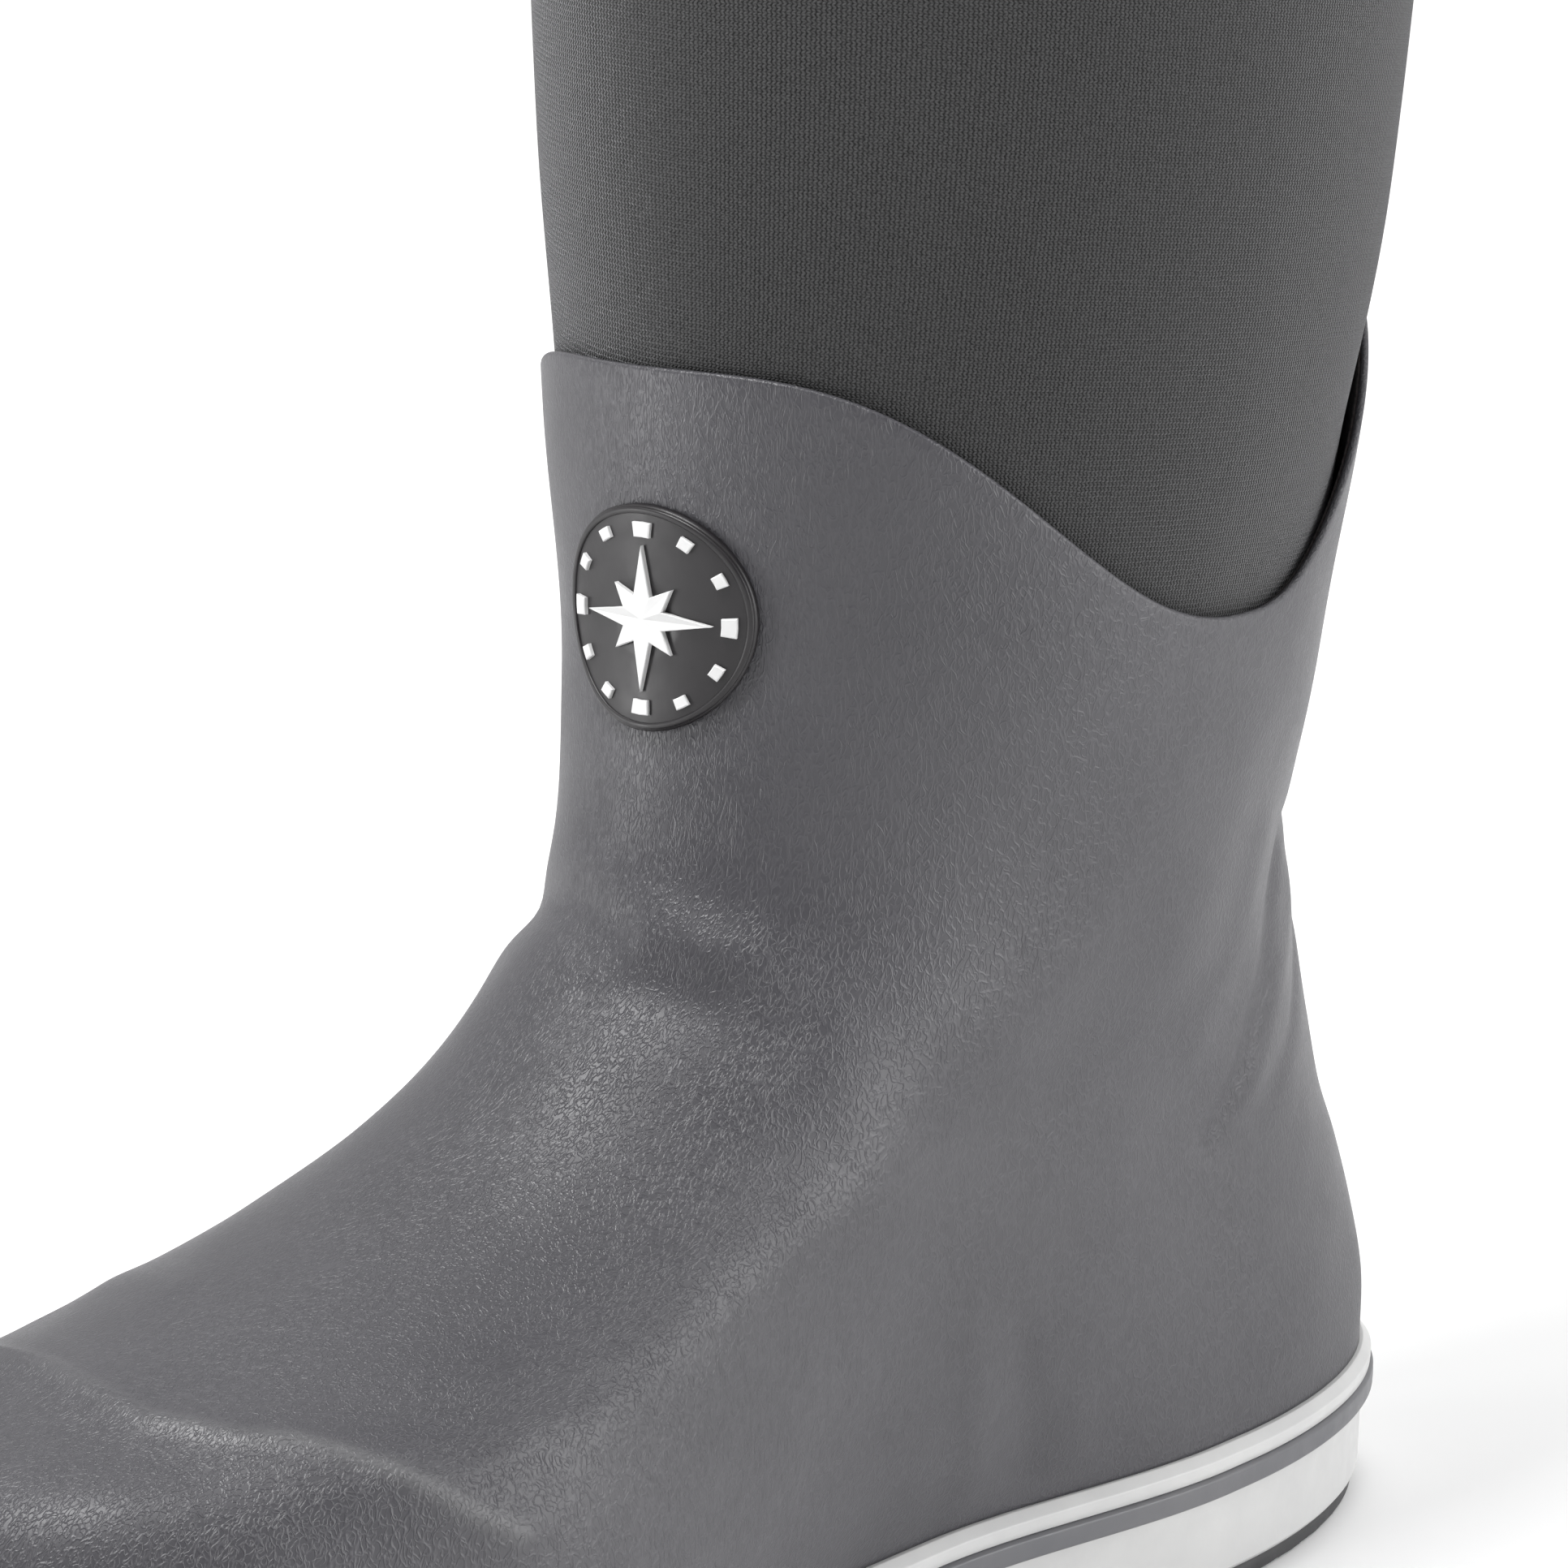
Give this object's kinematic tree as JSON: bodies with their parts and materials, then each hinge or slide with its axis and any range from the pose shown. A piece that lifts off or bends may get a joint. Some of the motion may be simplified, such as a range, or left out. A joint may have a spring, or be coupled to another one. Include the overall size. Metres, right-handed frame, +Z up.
{
  "type": "deck boot",
  "caption": "Left deck boot for sailing: grained rubber shell over a knit-faced neoprene leg, flat foxed sole with a striped edge, round shin badge and rear pull loop.",
  "frame": {"origin": "on the ground, in the middle of the sole's length and of the boot's width", "axes": "+Z up, -Y towards the toe, +Y towards the heel, +X towards the outer side of the left foot"},
  "size_m": [0.124, 0.304, 0.324],
  "materials": {
    "outsole_rubber": "moulded, non-marking",
    "core_rubber": "plain",
    "shank_steel": "strip",
    "pale_rubber": "smooth, satin",
    "stripe_rubber": "smooth, satin",
    "board": "pressed fibre board",
    "shell_rubber": "fine leather-like grain, semi-matte",
    "backing_fabric": "cotton net bonded to rubber",
    "stiffener": "impregnated board",
    "neoprene_jersey": "knitted jersey on foam",
    "lining_fabric": "brushed polyester",
    "footbed_foam": "EVA foam",
    "binding_fabric": "folded stretch tape",
    "loop_webbing": "ribbed polyester webbing",
    "badge_black": "moulded, satin",
    "badge_white": "moulded, satin"
  },
  "bodies": {
    "boot": {"outsole": "outsole_rubber", "midsole": "core_rubber", "shank": "shank_steel", "sidewall": "pale_rubber", "stripe": "stripe_rubber", "welt": "pale_rubber", "lasting_board": "board", "rubber_shell": "shell_rubber", "shell_backing": "backing_fabric", "heel_counter": "stiffener", "toe_puff": "stiffener", "neoprene_shaft": "neoprene_jersey", "bootie_sole": "lining_fabric", "lining": "lining_fabric", "footbed": "footbed_foam", "footbed_cover": "lining_fabric", "top_binding": "binding_fabric", "seam_tape": "binding_fabric", "loop_anchor": "binding_fabric", "badge_disc": "badge_black", "badge_rim": "badge_black", "badge_ticks": "badge_white", "badge_star": "badge_white"},
    "loop": {"pull_loop": "loop_webbing"}
  },
  "joints": [
    {"name": "loop_hinge", "type": "hinge", "parent": "boot", "child": "loop", "pos_m": [0, 0.14, 0.314], "axis": [1, 0, 0], "range_deg": [0, 165]}
  ]
}
